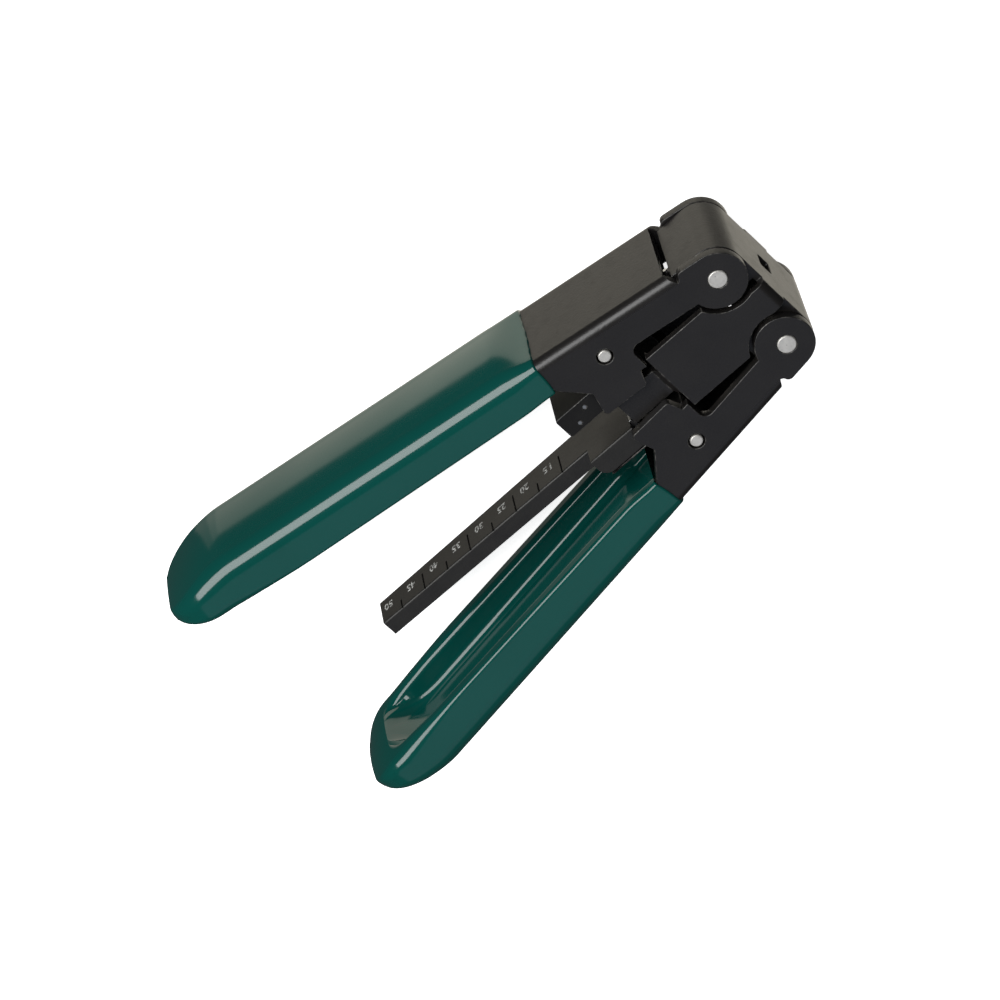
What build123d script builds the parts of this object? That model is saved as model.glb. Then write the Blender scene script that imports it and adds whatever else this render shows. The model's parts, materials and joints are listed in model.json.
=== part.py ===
from build123d import *
from math import cos, pi, radians, sin, sqrt, tan
import os

# Drop-cable fibre stripper: a folded head, two dipped channel handles, two sliding jaws and a ruler.
# Millimetres. The tool lies on its side: X runs along it towards the cable entry, Y across the
# handles and Z along the pivot pins. While it is modelled, zero lies midway between the two pivots.

# Whole tool
body_width = 19.6          # over the folded side walls, along the pins
sheet = 1.8                # steel of the handles and of the head's side plates
pivot_spacing = 16.54      # between the two pivot pins
arm_opening = 8.6          # degrees that each handle stands open from the middle line
arm_closing = 5.5          # degrees that each handle can be squeezed
layer_gap = 0.25           # between one sheet and the next one inside it
running_clearance = 0.05   # radial, round every pin, post and screw
overrun = 1.0              # how far a cut reaches past the face that it starts from

# Pivot pins, their spacer sleeves and the small pins of the jaws
pivot_pin_radius = 1.55
pin_proud = 0.12           # the riveted end of a pin stands this far out of the side wall
pin_edge = 0.25            # rounding of a pin's end
sleeve_wall = 0.4
jaw_pin_radius = 1.05
jaw_pin_x = 21.4           # behind the pivots
jaw_pin_y = 10.94          # out from the middle line
jaw_pin_slack = 0.32       # the handle's hole is this much larger than the jaw's pin, radially

# Handles, in the handle's own frame: x along it from its pivot, y out from the middle line
ear_radius = 4.9
ear_offset = 0.2           # the ear's centre lies this far behind the pivot and inside it
ear_shoulder = 4.9         # the ear's flat top ends this far behind the pivot
ear_shoulder_round = 1.0
back_height = 4.95         # pivot line to the outside of the web
fold_radius = 1.8          # outside radius of the web's two folds
fold_inner_radius = 0.45
web_start = 6.85           # where the web begins behind the pivot
web_fold_start = 6.65      # where the outside of its folds begins
web_notch = 5.35           # lowest place of the notch between the ear and the web's fold
web_notch_height = 3.2
wedge_edge = 1.83          # side wall's inner edge under the pivot line
wedge_end = 16.2
wedge_end_radius = 1.4
prong_reach = 17.2
prong_depth = 6.1
cheek_front = 18.4         # front of the deep cheek that covers the jaws
cheek_depth = 8.85
cheek_front_slope = 0.6
cheek_tail = 27.2
cheek_tail_depth = 9.55
cheek_round = 0.7
cheek_step = 4.6           # where the cheek's tail edge turns up to the handle's rim
cheek_step_back = 0.5

# Dipped grips, in the same frame
coat = 0.4                 # thickness of the dipped coat
grip_start = 31.2
flare_end = 38.0
nose_start = 90.0          # where the back begins to fall to the tail
nose_side_start = 94.4     # where the sides begin to close
nose_power = 1.75          # fullness of the falling back, where 2 is an ellipse
nose_side_power = 2.4
arm_reach = 103.0
upper_drip = 0.8           # the upper grip's dip ends in a longer drop
rim_start = 1.3            # coat's rim under the pivot line at the grip's start
rim_end = 2.3              # and where the tail begins
rim_lift_start = 96.5      # the rim bends up at the very tail
rim_lift = 1.5
rim_round = 0.9
grip_back = 5.93           # pivot line to the outside of the coat
grip_corner = 3.0
grip_crown = 0.45          # how far the back bulges between its corners
nose_tip_half_width = 2.4
nose_tip_height = 1.1
hollow_corner = 1.3
hollow_end = 94.6          # where the hollow's floor comes up to the rim
hollow_taper_start = 86.0
hollow_end_half_width = 3.0
nose_stations = 6
flare_stations = 3
nose_corner_share = 0.45   # the nose's corner radius is at most this share of its height
rim_room_share = 0.5       # and its rim's rounding this share of what is left
crown_least = 0.02         # even the flat end of the back is a very shallow arc
hollow_lip = 0.1           # the hollow's tail still has this much height past the rim

# Head bracket
cover_radius = 4.65        # outside of the cover round each pivot
cover_sheet = 1.2
wing_tail = 5.35           # where the cover's wings end behind the pivots
plate_half_height = 5.85   # hexagonal side plate, from the middle line
plate_tail = 17.3
plate_clear_radius = 6.0   # concave edge of the side plate round each ear
plate_neck = 2.6           # half height of its front fold and of its tongue
plate_fold_radius = 1.5
tongue_end = 26.5
joggle_length = 1.2
lug_slot = 0.8             # slot between the side plate's fold and the pivot lugs
lug_sheet = 1.5
entry_height = 2.6         # cable entry in the front, across the jaws
entry_width = 3.6          # and along the pins
entry_round = 0.4

# Torsion springs
spring_wire = 0.7
spring_radius = 2.5
spring_whole_turns = 6
spring_last_turn_share = 0.275     # the part of a turn sets the long leg's direction
spring_joint_share = 1.04  # where a leg leaves the coil, a ball this much of the wire's radius
spring_hook_low = 0.6      # the hook's end lies this far under the web's outside
spring_front_leg = 2.8
spring_bend = 1.0          # radius of the hook's bend, at the middle of the wire

# Jaws, blades and guide posts
jaw_gap_up = 2.9           # middle line to the upper jaw's working face
jaw_gap_down = 2.6         # middle line to the ruler's base on the lower jaw
jaw_tail = 35.3
jaw_tail_height = 6.93
jaw_tail_round = 0.5
jaw_step = 26.7            # front of the jaw's tail block
jaw_front = 18.9
jaw_nose_height = 5.0      # working face of the front block, clear of the head's tongues
jaw_boss_radius = 2.7
cable_groove_width = 3.4
cable_groove_depth = 0.7
blade_thickness = 0.8
blade_edge = 2.42          # middle line to a blade's edge at rest
blade_side = 1.75          # jaw beside a blade's end
blade_height = 5.4
blade_bevel = 0.35
blade_notch = 0.5
set_screw_radius = 1.0
set_screw_side = 3.55      # jaw's side to the middle of a screw
set_screw_socket = 0.5
set_screw_socket_depth = 0.9
set_screw_recess = 0.4
upper_screw_height = 5.2   # middle line to the screws of the upper jaw
lower_screw_height = 5.0
post_radius = 0.9
post_x = 24.0
post_side = 3.35           # jaw's side to the middle of a post
post_bottom = 11.5
post_top = 9.5
dowel_radius = 0.3
dowel_length = 1.6
dowel_places = [(30.2, 5.6), (32.6, 4.0)]

# Ruler: one folded piece, a saddle on the lower jaw and a scale behind it
ruler_sheet = 0.9
saddle_tail = 36.3
saddle_drop = 3.8          # height of the saddle's flanges
saddle_corner = 1.8
ruler_end = 80.9
ruler_root_half_width = 3.95
ruler_end_half_width = 3.25
ruler_drop = 2.9
ruler_edge_round = 0.35
tick_pitch = 5.0
tick_first = 15.0          # reading of the first tick, counted from the blades
tick_last = 50.0
tick_width = 0.3
tick_depth = 0.15
tick_long_share = 0.68
tick_short_share = 0.36
rivet_radius = 0.8
rivet_places = [30.4, 33.8]
rivet_cap = 0.3            # sheet left over a rivet's blind end
lengthwise_share = 0.7     # an edge that runs this much along X is a fold of the scale

# Values that follow from the sizes above
half_width = body_width / 2
pivot_y = pivot_spacing / 2
inner_level = half_width - sheet - layer_gap       # outside of everything between the handles' walls
lug_inside = inner_level - lug_sheet
sleeve_radius = pivot_pin_radius + running_clearance + sleeve_wall
jaw_tail_block_front = jaw_step + blade_thickness + 2 * running_clearance
blade_half_width = inner_level - blade_side
set_screw_z = inner_level - set_screw_side
post_z = inner_level - post_side
spring_height = 2 * (lug_inside - layer_gap) - spring_wire
spring_turns = spring_whole_turns + spring_last_turn_share
diagonal_share = sqrt(2) / 2
opening_angle = radians(arm_opening)
jaw_travel = jaw_pin_x * sin(radians(arm_closing))
arm_bar_top = back_height - fold_radius


def slab(outline, low, high):
    """A flat outline in the XY plane made into a plate between two heights."""
    return extrude(Pos(0, 0, low) * outline, amount=high - low)


def both_sides(outline, low, high):
    """The same plate on the near side and on the far side of the tool."""
    return slab(outline, low, high) + slab(outline, -high, -low)


def pin(radius, x, y, low, high):
    """A round bar along Z."""
    return Pos(x, y, (low + high) / 2) * Cylinder(radius, high - low)


def block(x_low, x_high, y_low, y_high, z_low, z_high):
    """A square block between two corners."""
    middle = ((x_low + x_high) / 2, (y_low + y_high) / 2, (z_low + z_high) / 2)
    return Pos(*middle) * Box(x_high - x_low, y_high - y_low, z_high - z_low)


def place_upper(shape):
    """From the handle's own frame to the tool, at the open rest angle."""
    return Pos(0, pivot_y, 0) * Rot(0, 0, -arm_opening) * shape


def lower_of(shape):
    """The lower half of the tool mirrors the upper one."""
    return mirror(shape, about=Plane.XZ)


def to_arm(x, y):
    """A point of the tool in the upper handle's own frame."""
    dx = x
    dy = y - pivot_y
    return (dx * cos(opening_angle) - dy * sin(opening_angle),
            dx * sin(opening_angle) + dy * cos(opening_angle))


# Handles
def rim_height(x, inset):
    """Rim of the grip under the pivot line at a distance behind the pivot."""
    share = (x - grip_start) / (nose_start - grip_start)
    share = min(max(share, 0), 1)
    lift = max(x - rim_lift_start, 0) / (arm_reach - rim_lift_start)
    return -(rim_start + (rim_end - rim_start) * share) + rim_lift * lift * lift + inset


def closing(x, start, end, power):
    """Falls from one to zero between two stations, full at first and steep at the end."""
    share = min(max((x - start) / (end - start), 0), 1)
    return (1 - share ** power) ** (1 / power)


def grip_station(x, inset, reach):
    """Half width, back height, corner radius and crown of the grip's outside at one station."""
    flare = min(max((x - grip_start) / (flare_end - grip_start), 0), 1)
    flare = flare * flare * (3 - 2 * flare)
    half = half_width + coat
    back = (back_height + coat) * (1 - flare) + grip_back * flare
    corner = (fold_radius + coat) * (1 - flare) + grip_corner * flare
    crown = grip_crown * flare
    if x > nose_start:
        fall = closing(x, nose_start, reach - inset, nose_power)
        narrow = closing(x, nose_side_start, reach - inset, nose_side_power)
        tip = rim_height(x, 0) + nose_tip_height
        half = nose_tip_half_width + (half - nose_tip_half_width) * narrow
        back = tip + (back - tip) * fall
        crown = crown * fall
        room = min(half, back - rim_height(x, 0))
        corner = min(corner, room * nose_corner_share)
    return half - inset, back - inset, max(corner - inset, coat / 2), crown


def grip_section(x, inset, reach):
    """Closed outline across the grip: rounded rims, walls, corners and a crowned back."""
    half, back, corner, crown = grip_station(x, inset, reach)
    rim = rim_height(x, inset)
    diagonal = corner * (1 - diagonal_share)
    low_corner = min(rim_round - inset, (back - corner - rim) * rim_room_share)
    low_diagonal = low_corner * (1 - diagonal_share)
    station = -x
    left_rim = (station, rim, -half + low_corner)
    left_low = (station, rim + low_corner, -half)
    left_top = (station, back - corner, -half)
    left_back = (station, back, -half + corner)
    right_back = (station, back, half - corner)
    right_top = (station, back - corner, half)
    right_low = (station, rim + low_corner, half)
    right_rim = (station, rim, half - low_corner)
    crown_top = (station, back + crown + crown_least, 0)
    return make_face([
        ThreePointArc(left_rim, (station, rim + low_diagonal, -half + low_diagonal), left_low),
        Line(left_low, left_top),
        ThreePointArc(left_top, (station, back - diagonal, -half + diagonal), left_back),
        ThreePointArc(left_back, crown_top, right_back),
        ThreePointArc(right_back, (station, back - diagonal, half - diagonal), right_top),
        Line(right_top, right_low),
        ThreePointArc(right_low, (station, rim + low_diagonal, half - low_diagonal), right_rim),
        Line(right_rim, left_rim),
    ])


def hollow_section(x, inset, reach):
    """Closed outline of the grip's hollow, open past the rim."""
    half, back, _, _ = grip_station(min(x, nose_start), 0, reach)
    wall = sheet + 2 * coat
    share = min(max((x - hollow_taper_start) / (hollow_end + inset - hollow_taper_start), 0), 1)
    round_off = sqrt(1 - share * share)
    half = hollow_end_half_width + (half - wall - hollow_end_half_width) * round_off + inset
    low = rim_height(x, 0) - overrun
    floor = low + (back - wall - low) * round_off + inset + hollow_lip
    corner = min(hollow_corner + inset, (floor - low) * nose_corner_share)
    diagonal = corner * (1 - diagonal_share)
    low = low - overrun
    station = -x
    return make_face([
        Line((station, low, -half), (station, floor - corner, -half)),
        ThreePointArc((station, floor - corner, -half),
                      (station, floor - diagonal, -half + diagonal),
                      (station, floor, -half + corner)),
        Line((station, floor, -half + corner), (station, floor, half - corner)),
        ThreePointArc((station, floor, half - corner),
                      (station, floor - diagonal, half - diagonal),
                      (station, floor - corner, half)),
        Line((station, floor - corner, half), (station, low, half)),
        Line((station, low, half), (station, low, -half)),
    ])


def even_stations(start, end, count):
    """Evenly spaced stations."""
    return [start + (end - start) * step / count for step in range(count + 1)]


def closing_stations(start, end, count):
    """Stations that crowd towards the end, where the form turns quickly."""
    return [start + (end - start) * sin(pi / 2 * step / count) for step in range(count + 1)]


def form_between(section, inset, front, tails, reach):
    """Straight front, flare, tapered middle and a tail in spans, through one kind of section."""
    flare = even_stations(grip_start, flare_end, flare_stations)
    form = loft([section(place, inset, reach) for place in flare])
    form += loft([section(flare_end, inset, reach), section(tails[0][0], inset, reach)], ruled=True)
    for tail in tails:
        form += loft([section(place, inset, reach) for place in tail])
    if front < grip_start:
        form += extrude(section(grip_start, inset, reach), amount=grip_start - front, dir=(1, 0, 0))
    return form


def grip_form(inset, front, reach=arm_reach):
    """Solid outside of a grip, with its boat-shaped nose."""
    tails = [even_stations(nose_start, nose_side_start, flare_stations),
             closing_stations(nose_side_start, reach - inset, nose_stations)]
    return form_between(grip_section, inset, front, tails, reach)


def grip_hollow(inset, front):
    """Solid that empties the grip, with a floor that rises to the rim at the tail."""
    tails = [closing_stations(hollow_taper_start, hollow_end + inset, nose_stations)]
    return form_between(hollow_section, inset, front, tails, arm_reach)


def side_wall_outline():
    """One side wall of a handle: ear, wedge edge, prong, deep cheek and the rise to the rim."""
    ear_drop = wedge_edge - ear_offset
    ear_low = (-ear_offset - sqrt(ear_radius ** 2 - ear_drop ** 2), -wedge_edge)
    ear_top = ear_radius - ear_offset
    shoulder = ear_shoulder_round * (1 - diagonal_share)
    slot_turn = (-wedge_end - wedge_end_radius, -wedge_edge - wedge_end_radius)
    slot_middle = (-wedge_end - wedge_end_radius * diagonal_share,
                   -wedge_edge - wedge_end_radius * (1 - diagonal_share))
    rim = rim_height(grip_start, coat)
    wall = make_face([
        ThreePointArc(ear_low, (ear_radius - ear_offset, -ear_offset), (-ear_offset, ear_top)),
        Line((-ear_offset, ear_top), (-ear_shoulder + ear_shoulder_round, ear_top)),
        ThreePointArc((-ear_shoulder + ear_shoulder_round, ear_top),
                      (-ear_shoulder + shoulder, ear_top - shoulder),
                      (-ear_shoulder, ear_top - ear_shoulder_round)),
        Line((-ear_shoulder, ear_top - ear_shoulder_round), (-web_notch, web_notch_height)),
        Line((-web_notch, web_notch_height), (-web_notch, arm_bar_top)),
        Line((-web_notch, arm_bar_top), (-grip_start, arm_bar_top)),
        Line((-grip_start, arm_bar_top), (-grip_start, rim)),
        Line((-grip_start, rim), (-cheek_tail - cheek_step_back, -cheek_step + cheek_step_back)),
        Line((-cheek_tail - cheek_step_back, -cheek_step + cheek_step_back),
             (-cheek_tail + cheek_step_back, -cheek_step - cheek_step_back)),
        Line((-cheek_tail + cheek_step_back, -cheek_step - cheek_step_back),
             (-cheek_tail, -cheek_tail_depth)),
        Line((-cheek_tail, -cheek_tail_depth), (-cheek_front - cheek_front_slope, -cheek_depth)),
        Line((-cheek_front - cheek_front_slope, -cheek_depth), (-cheek_front, -prong_depth)),
        Line((-cheek_front, -prong_depth), (-prong_reach, -prong_depth)),
        Line((-prong_reach, -prong_depth), slot_turn),
        ThreePointArc(slot_turn, slot_middle, (-wedge_end, -wedge_edge)),
        Line((-wedge_end, -wedge_edge), ear_low),
    ])
    low_corners = wall.vertices().sort_by(Axis.Y)[:2]
    return fillet(low_corners, radius=cheek_round)


def web_bar():
    """The web with its two folds: the folds slant forward into the notch, the web stands back."""
    outside = grip_section(grip_start, coat, arm_reach)
    low = -back_height
    inside = Pos(-grip_start, 0, 0) * Rot(0, 90, 0) * RectangleRounded(
        body_width - 2 * sheet, 2 * (back_height - sheet), fold_inner_radius)
    ring = outside - inside
    bar = extrude(ring, amount=grip_start - web_notch, dir=(1, 0, 0))
    slope = (web_fold_start - web_notch) / (back_height - web_notch_height)
    end = web_fold_start + slope * overrun
    bar -= slab(make_face(Polyline(
        (-web_notch, web_notch_height), (-end, back_height + overrun), (overrun, back_height + overrun),
        (overrun, web_notch_height), close=True)), -half_width - overrun, half_width + overrun)
    flat = half_width - fold_radius
    bar -= block(-web_start, 0, 0, 2 * back_height, -flat, flat)
    return bar & block(-grip_start, -web_notch, low, 2 * back_height, -half_width, half_width)


def arm_steel():
    """Folded steel of one handle, coated part included, in its own frame."""
    hole_x, hole_y = to_arm(-jaw_pin_x, jaw_pin_y)
    walls = both_sides(side_wall_outline(), half_width - sheet, half_width)
    steel = walls + web_bar()
    steel += grip_form(coat, grip_start) - grip_hollow(coat, grip_start)
    full = half_width + overrun
    steel -= pin(pivot_pin_radius + running_clearance, 0, 0, -full, full)
    steel -= pin(jaw_pin_radius + jaw_pin_slack, hole_x, hole_y, -full, full)
    return steel


def arm_grip(drip):
    """Dipped coat of one handle: a skin inside and outside the steel, closed over its rim."""
    skin = grip_form(0, grip_start, arm_reach + drip) - grip_hollow(0, grip_start - overrun)
    steel = grip_form(coat, grip_start - overrun) - grip_hollow(coat, grip_start - 2 * overrun)
    return skin - steel


# Torsion spring, in the handle's own frame
def torsion_spring():
    """Coil round the pivot: one leg hooks over the web's front edge, one bears on the head."""
    height = spring_height
    wire = spring_wire / 2
    pitch = height / spring_turns
    path = Pos(0, 0, -height / 2) * Helix(pitch=pitch, height=height, radius=spring_radius)
    coil = sweep(Plane(origin=path @ 0, z_dir=path % 0) * Circle(wire), path=path, is_frenet=True)
    turned = 2 * pi * spring_last_turn_share
    hook_x = -web_start + wire + running_clearance
    hook_y = spring_radius * sin(turned) + (hook_x - spring_radius * cos(turned)) / -tan(turned)
    end = Vector(spring_radius * cos(turned), spring_radius * sin(turned), height / 2)
    bend = Vector(hook_x, hook_y, height / 2)
    tip = Vector(hook_x, back_height - spring_hook_low, height / 2)
    front = Vector(spring_radius, 0, -height / 2)
    foot = front - Vector(0, spring_front_leg, 0)
    ball = Rot(0, 90, 0) * Sphere(wire * spring_joint_share)
    hook = wire_along(FilletPolyline(end, bend, tip, radius=spring_bend), wire) + Pos(end) * ball
    leg = wire_along(Line(front, foot), wire) + Pos(front) * ball
    return coil + hook + leg


def wire_along(path, radius):
    """Round wire along a path."""
    return sweep(Plane(origin=path @ 0, z_dir=path % 0) * Circle(radius), path=path)


# Head
def cover_outline(inset):
    """Outline of the cover in plan: flat front, round the pivots, wings towards the handles."""
    front = cover_radius - inset
    side = pivot_y + cover_radius - inset
    tail = wing_tail + (overrun if inset else 0)
    corner = cover_radius - inset
    return make_face([
        Line((-tail, side), (0, side)),
        ThreePointArc((0, side), (corner * diagonal_share, pivot_y + corner * diagonal_share),
                      (front, pivot_y)),
        Line((front, pivot_y), (front, -pivot_y)),
        ThreePointArc((front, -pivot_y), (corner * diagonal_share, -pivot_y - corner * diagonal_share),
                      (0, -side)),
        Line((0, -side), (-tail, -side)),
        Line((-tail, -side), (-tail, side)),
    ])


def side_plate_outline():
    """Hexagonal side plate with its tongue, seen along the pins."""
    arc_x = sqrt(plate_clear_radius ** 2 - (pivot_y - plate_half_height) ** 2)
    length = cover_radius + plate_tail
    plate = Pos(cover_radius - length / 2, 0) * Rectangle(length, 2 * plate_half_height)
    plate += Pos(-tongue_end / 2, 0) * Rectangle(tongue_end, 2 * plate_neck)
    for side in (-1, 1):
        plate -= Pos(0, side * pivot_y) * Circle(plate_clear_radius)
        low = plate_neck if side > 0 else -plate_half_height - overrun
        plate -= Pos(overrun, low) * Rectangle(arc_x + overrun, plate_half_height - plate_neck + overrun,
                                               align=(Align.MIN, Align.MIN))
    return plate


def side_plate_strip():
    """Profile of the folded strip seen across the tool: front, two plates, joggles and tongues."""
    def strip_line(level, joggle_shift):
        return [(cover_radius, level), (-plate_tail - joggle_shift, level),
                (-plate_tail - joggle_length - joggle_shift, level - sheet - layer_gap),
                (-tongue_end - overrun, level - sheet - layer_gap)]

    outer = strip_line(half_width, 0)
    outside = outer + [(x, -z) for x, z in reversed(outer)]
    inner = strip_line(half_width - lug_sheet, -joggle_length / 2)
    inner[0] = (cover_radius - cover_sheet, half_width - lug_sheet)
    inside = inner + [(x, -z) for x, z in reversed(inner)]
    outside_face = make_face(Polyline(*outside, close=True))
    front = outside_face.vertices().sort_by(Axis.X)[-2:]
    outside_face = fillet(front, radius=plate_fold_radius)
    inside_face = make_face(Polyline(*inside, close=True))
    return Plane.XZ * (outside_face - inside_face)


def head_bracket():
    """Folded head: cover, pivot lugs, hexagonal side plates and the tongues behind them."""
    shell = slab(cover_outline(0) - cover_outline(cover_sheet), -inner_level, inner_level)
    lugs = cover_outline(0) - Rectangle(4 * cover_radius + overrun, 2 * (plate_neck + lug_slot))
    shell += both_sides(lugs, lug_inside, inner_level)
    strip = extrude(side_plate_strip(), amount=pivot_spacing, both=True)
    full = half_width + overrun
    shell += strip & slab(side_plate_outline(), -full, full)
    for side in (-1, 1):
        shell -= pin(pivot_pin_radius + running_clearance / 2, 0, side * pivot_y, -full, full)
    entry = Plane.YZ * RectangleRounded(entry_height, entry_width, entry_round)
    shell -= extrude(entry, amount=cover_radius + overrun)
    return shell


def round_pin(radius, x, y, half_length):
    """Pin with slightly rounded ends, along Z, centred on the tool."""
    bar = pin(radius, x, y, -half_length, half_length)
    return fillet(bar.edges().filter_by(GeomType.CIRCLE), radius=pin_edge)


def pivot_sleeve(side):
    """Spacer sleeve between the lugs, inside the torsion spring."""
    length = 2 * (lug_inside - layer_gap)
    tube = Cylinder(sleeve_radius, length) - Cylinder(pivot_pin_radius + running_clearance, length)
    return Pos(0, side * pivot_y, 0) * tube


# Jaws
def jaw_outline(working_face, tail):
    """Upper jaw seen along the pins: tail block, front block and the boss round its pin."""
    boss_top = jaw_pin_y + jaw_boss_radius
    outline = make_face(Polyline(
        (-tail, working_face), (-jaw_tail_block_front, working_face),
        (-jaw_tail_block_front, jaw_nose_height), (-jaw_front, jaw_nose_height),
        (-jaw_front, jaw_pin_y), (-jaw_pin_x + jaw_boss_radius * diagonal_share, boss_top),
        (-jaw_pin_x - jaw_boss_radius * diagonal_share, boss_top),
        (-jaw_step, jaw_tail_height), (-tail, jaw_tail_height), close=True))
    corners = outline.vertices().sort_by(Axis.X)[:2]
    return fillet(corners, radius=jaw_tail_round)


def blade_slot():
    """Slot for a blade between the tail block and the front block."""
    top = blade_edge + blade_height + running_clearance
    half = blade_half_width + running_clearance
    return block(-jaw_tail_block_front, -jaw_step, 0, top, -half, half)


def jaw_fastener_holes(tail, height):
    """Threaded holes of the two set screws that press on the blade."""
    radius = set_screw_radius + running_clearance
    length = tail - jaw_step + overrun
    middle = -jaw_tail_block_front - length / 2
    hole = Rot(0, 90, 0) * Cylinder(radius, length)
    return (Pos(middle, height, set_screw_z) * hole) + (Pos(middle, height, -set_screw_z) * hole)


def set_screws(tail, height):
    """Two socket set screws along the tool."""
    length = tail - jaw_tail_block_front - set_screw_recess
    screw = Cylinder(set_screw_radius, length)
    socket = extrude(RegularPolygon(set_screw_socket, 6), amount=set_screw_socket_depth)
    screw -= Pos(0, 0, -length / 2) * socket
    screw = Rot(0, 90, 0) * screw
    middle = -jaw_tail_block_front - length / 2
    return [Pos(middle, height, side * set_screw_z) * screw for side in (-1, 1)]


def blade():
    """Flat blade with a bevelled edge and a notch that spares the fibre."""
    plate = block(-jaw_step - running_clearance - blade_thickness, -jaw_step - running_clearance,
                  blade_edge, blade_edge + blade_height, -blade_half_width, blade_half_width)
    edge = plate.edges().filter_by(Axis.Z).group_by(Axis.Y)[0].sort_by(Axis.X)[-1]
    plate = chamfer(edge, length=3 * blade_bevel, length2=blade_thickness - blade_bevel)
    notch = Rot(0, 90, 0) * Rot(0, 0, 45) * Box(blade_notch, blade_notch, 4 * blade_thickness)
    return plate - Pos(-jaw_step, blade_edge, 0) * notch


def upper_jaw():
    """Upper blade carrier, with the groove that holds the cable."""
    jaw = slab(jaw_outline(jaw_gap_up, jaw_tail), -inner_level, inner_level)
    jaw -= blade_slot()
    jaw -= block(-jaw_tail - overrun, -jaw_step + overrun, 0, jaw_gap_up + cable_groove_depth,
                 -cable_groove_width / 2, cable_groove_width / 2)
    jaw -= jaw_fastener_holes(jaw_tail, upper_screw_height)
    jaw -= guide_holes(post_radius + running_clearance)
    jaw -= pin(jaw_pin_radius + running_clearance / 2, -jaw_pin_x, jaw_pin_y, -half_width, half_width)
    for x, y in dowel_places:
        for low in (-inner_level, inner_level - dowel_length):
            jaw -= pin(dowel_radius + running_clearance / 2, -x, y, low, low + dowel_length)
    return jaw


def lower_jaw():
    """Lower blade carrier: its tail block is narrower, because the ruler's saddle wraps it."""
    saddle_face = jaw_gap_down + ruler_sheet
    jaw = slab(jaw_outline(saddle_face, jaw_tail), -inner_level, inner_level)
    side = inner_level - ruler_sheet
    for low, high in ((side, inner_level), (-inner_level, -side)):
        jaw -= block(-saddle_tail, -jaw_step, 0, jaw_gap_down + saddle_drop + layer_gap, low, high)
    jaw -= blade_slot()
    jaw -= jaw_fastener_holes(jaw_tail, lower_screw_height)
    jaw -= guide_holes(post_radius + running_clearance / 2)
    jaw -= pin(jaw_pin_radius + running_clearance / 2, -jaw_pin_x, jaw_pin_y, -half_width, half_width)
    for x in rivet_places:
        jaw -= Pos(-x, jaw_tail_height, 0) * Rot(90, 0, 0) * Cylinder(
            rivet_radius + running_clearance / 2, 2 * jaw_tail_height)
    return lower_of(jaw)


def guide_holes(radius):
    """Two bores across the front block for the guide posts."""
    bore = Rot(90, 0, 0) * Cylinder(radius, 4 * jaw_pin_y)
    return (Pos(-post_x, 0, post_z) * bore) + (Pos(-post_x, 0, -post_z) * bore)


def guide_posts():
    """Two posts pressed into the lower jaw that keep the jaws square."""
    post = Rot(90, 0, 0) * Cylinder(post_radius, post_bottom + post_top)
    post = chamfer(post.edges().filter_by(GeomType.CIRCLE), length=post_radius / 4)
    middle = (post_top - post_bottom) / 2
    return [Pos(-post_x, middle, side * post_z) * post for side in (-1, 1)]


def dowels():
    """Short dowels in the two sides of the upper jaw."""
    pieces = []
    for x, y in dowel_places:
        for low in (-inner_level, inner_level - dowel_length):
            pieces.append(pin(dowel_radius, -x, y, low, low + dowel_length))
    return pieces


# Ruler
def plan_plate(outline, top, drop):
    """A plan outline, drawn as X and Z, made into a plate that hangs down from a height."""
    return Pos(0, -top, 0) * extrude(Plane.XZ * outline, amount=drop)


def scale_plan(wall):
    """Tapered plan of the scale, or of the space between its flanges."""
    root = ruler_root_half_width - wall
    end = ruler_end_half_width - wall
    start = -saddle_tail + ruler_sheet
    tail = -ruler_end - (overrun if wall else 0)
    return make_face(Polyline((start, root), (-saddle_tail - ruler_sheet, root), (tail, end),
                              (tail, -end), (-saddle_tail - ruler_sheet, -root), (start, -root),
                              close=True))


def ruler():
    """Folded saddle and scale, with its ticks cut into the top."""
    saddle_length = saddle_tail - jaw_tail_block_front
    saddle_middle = -(saddle_tail + jaw_tail_block_front) / 2
    saddle = Pos(saddle_middle, 0) * Rectangle(saddle_length, 2 * inner_level)
    solid = plan_plate(saddle + scale_plan(0), jaw_gap_down, ruler_sheet)
    solid += plan_plate(scale_plan(0) - scale_plan(ruler_sheet), jaw_gap_down, ruler_drop)
    flange = Pos(saddle_middle, -jaw_gap_down - saddle_drop / 2) * Rectangle(saddle_length, saddle_drop)
    corner = flange.vertices().sort_by(Axis.Y)[:2].sort_by(Axis.X)[0]
    flange = fillet(corner, radius=saddle_corner)
    solid += both_sides(flange, inner_level - ruler_sheet, inner_level)
    top_edges = solid.edges().group_by(Axis.Y)[-1]
    folds = [edge for edge in top_edges
             if edge.length > ruler_drop and abs(edge.tangent_at(0).X) > lengthwise_share]
    solid = fillet(folds, radius=ruler_edge_round)
    for tick in tick_cuts():
        solid -= tick
    for x in rivet_places:
        length = ruler_sheet - rivet_cap
        solid -= Pos(-x, -jaw_gap_down - rivet_cap - length / 2, 0) * Rot(90, 0, 0) * Cylinder(
            rivet_radius + running_clearance / 2, length)
    return solid


def tick_cuts():
    """Grooves across the scale, every second one longer, measured from the blades."""
    cuts = []
    count = round((tick_last - tick_first) / tick_pitch)
    span = ruler_end - saddle_tail
    for index in range(count + 1):
        x = jaw_step + tick_first + index * tick_pitch
        along = (x - saddle_tail) / span
        half = ruler_root_half_width + (ruler_end_half_width - ruler_root_half_width) * along
        share = tick_long_share if index % 2 == 0 else tick_short_share
        low = half - 2 * half * share
        cuts.append(block(-x - tick_width / 2, -x + tick_width / 2,
                          -jaw_gap_down - tick_depth, -jaw_gap_down + overrun, low, half + overrun))
    return cuts


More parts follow.
